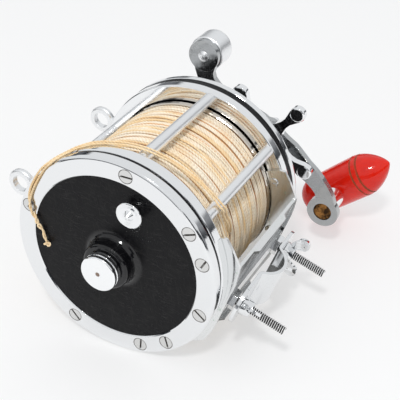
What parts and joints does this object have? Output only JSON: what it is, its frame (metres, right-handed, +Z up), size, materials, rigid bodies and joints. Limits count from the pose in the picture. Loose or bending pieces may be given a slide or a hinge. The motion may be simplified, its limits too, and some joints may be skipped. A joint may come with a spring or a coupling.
{
  "type": "star drag fishing reel",
  "caption": "Conventional big-game fishing reel with a wide spool of twisted line, pillared cage, star drag, torpedo grip and a clamp for the rod.",
  "frame": {"origin": "on the table under the middle of the part, with the reel lying on the rims of its rings", "axes": "+X along the spool axis from the left plate to the handle, +Z up from the table; the rod seat faces -Y and 20.4 degrees down"},
  "size_m": [0.1779, 0.1445, 0.1111],
  "materials": {
    "chrome": "polished chrome plate over brass, with fine handling scratches",
    "stud_steel": "bright plated thread",
    "dark_steel": "oiled ground steel",
    "brass": "turned brass, oiled",
    "bronze": "dull brown bronze",
    "bakelite": "black moulded phenolic, satin face and polished boss",
    "leather": "oiled drag leather",
    "grip_red": "polished red plastic",
    "line": "beige twisted line"
  },
  "bodies": {
    "frame": {"left_outer_ring": "chrome", "left_side_plate": "bakelite", "left_inner_ring": "chrome", "right_inner_ring": "chrome", "right_side_plate": "bakelite", "right_outer_ring": "chrome", "pillars": "chrome", "left_harness_lug": "chrome", "right_harness_lug": "chrome", "left_ring_screws": "chrome", "right_ring_screws": "chrome", "reel_stand": "chrome", "stand_screws": "chrome", "saddle_bar": "chrome", "clamp_studs": "stud_steel", "stud_nuts": "chrome", "left_bearing": "bronze", "right_bearing": "bronze", "click_spring": "dark_steel", "bridge_plate": "brass", "bridge_screws": "dark_steel", "gear_stud": "dark_steel", "dog_spring": "dark_steel", "line_strand_a": "line", "line_strand_b": "line", "line_knot": "line"},
    "spool": {"spool_arbor": "brass", "left_spool_flange": "chrome", "right_spool_flange": "chrome", "spool_shaft": "dark_steel", "line_winding": "line", "click_ratchet": "dark_steel"},
    "left_cap": {"left_bearing_cap": "chrome"},
    "right_cap": {"right_bearing_cap": "chrome"},
    "click": {"click_button": "chrome", "click_tongue": "dark_steel"},
    "handle": {"gear_sleeve": "brass", "main_gear": "brass", "anti_reverse_ratchet": "dark_steel", "leather_drag_washers": "leather", "metal_drag_washers": "dark_steel", "spacing_sleeve": "dark_steel", "handle_spacer": "dark_steel", "handle_arm": "chrome", "handle_nut": "chrome", "counterweight": "chrome", "grip_spindle": "chrome", "spindle_rivet": "bronze", "grip_screw": "chrome"},
    "star": {"star_drag": "chrome"},
    "grip": {"torpedo_grip": "grip_red"},
    "yoke": {"clutch_yoke": "dark_steel", "yoke_springs": "dark_steel"},
    "pinion": {"pinion": "brass"},
    "lever": {"freespool_lever": "chrome", "clutch_cam": "dark_steel"},
    "dog": {"anti_reverse_dog": "dark_steel"},
    "strap": {"rod_clamp_strap": "chrome"},
    "left_nut": {"left_wing_nut": "chrome"},
    "right_nut": {"right_wing_nut": "chrome"}
  },
  "joints": [
    {"name": "handle_turn", "type": "hinge", "parent": "frame", "child": "handle", "pos_m": [0.02395, -0.01091, 0.06262], "axis": [1, 0, 0], "continuous": true},
    {"name": "spool_spin", "type": "hinge", "parent": "frame", "child": "spool", "pos_m": [-0.03005, 0.01081, 0.0524], "axis": [1, 0, 0], "continuous": true},
    {"name": "yoke_slide", "type": "slide", "parent": "frame", "child": "yoke", "axis": [1, 0, 0], "range_m": [0, 0.003]},
    {"name": "pinion_spin", "type": "hinge", "parent": "yoke", "child": "pinion", "pos_m": [0.00895, 0.01081, 0.0524], "axis": [1, 0, 0], "continuous": true},
    {"name": "freespool_turn", "type": "hinge", "parent": "frame", "child": "lever", "pos_m": [0.01695, 0.0299, 0.04366], "axis": [1, 0, 0], "range_deg": [-90, 0]},
    {"name": "star_turn", "type": "hinge", "parent": "handle", "child": "star", "pos_m": [0.03895, -0.01091, 0.06262], "axis": [1, 0, 0], "range_deg": [-270, 90]},
    {"name": "grip_spin", "type": "hinge", "parent": "handle", "child": "grip", "pos_m": [0.07695, -0.04622, 0.02527], "axis": [1, 0, 0], "continuous": true},
    {"name": "click_slide", "type": "slide", "parent": "frame", "child": "click", "axis": [0, 0.3811, -0.9245], "range_m": [0, 0.004]},
    {"name": "dog_lift", "type": "hinge", "parent": "frame", "child": "dog", "pos_m": [0.00495, 0.00496, 0.073], "axis": [1, 0, 0], "range_deg": [-12, 0]},
    {"name": "left_cap_turn", "type": "hinge", "parent": "frame", "child": "left_cap", "pos_m": [-0.08605, 0.01081, 0.0524], "axis": [1, 0, 0], "range_deg": [-90, 180]},
    {"name": "right_cap_turn", "type": "hinge", "parent": "frame", "child": "right_cap", "pos_m": [0.02895, 0.01081, 0.0524], "axis": [1, 0, 0], "range_deg": [-180, 90]},
    {"name": "strap_slide", "type": "slide", "parent": "frame", "child": "strap", "axis": [0, -0.9373, -0.3486], "range_m": [0, 0.0121]},
    {"name": "left_nut_turn", "type": "hinge", "parent": "strap", "child": "left_nut", "pos_m": [-0.05465, -0.0473, 0.03079], "axis": [0, -0.9373, -0.3486], "range_deg": [0, 4082]},
    {"name": "right_nut_turn", "type": "hinge", "parent": "strap", "child": "right_nut", "pos_m": [-0.00545, -0.0473, 0.03079], "axis": [0, -0.9373, -0.3486], "range_deg": [0, 4082]}
  ],
  "couplings": [
    {"joint": "spool_spin", "follows": "handle_turn", "ratio": -2.5294},
    {"joint": "pinion_spin", "follows": "handle_turn", "ratio": -2.5294},
    {"joint": "yoke_slide", "follows": "freespool_turn", "m_per_rad": -0.0019099},
    {"joint": "strap_slide", "follows": "left_nut_turn", "m_per_rad": 0.00016843},
    {"joint": "right_nut_turn", "follows": "left_nut_turn", "ratio": 1}
  ]
}
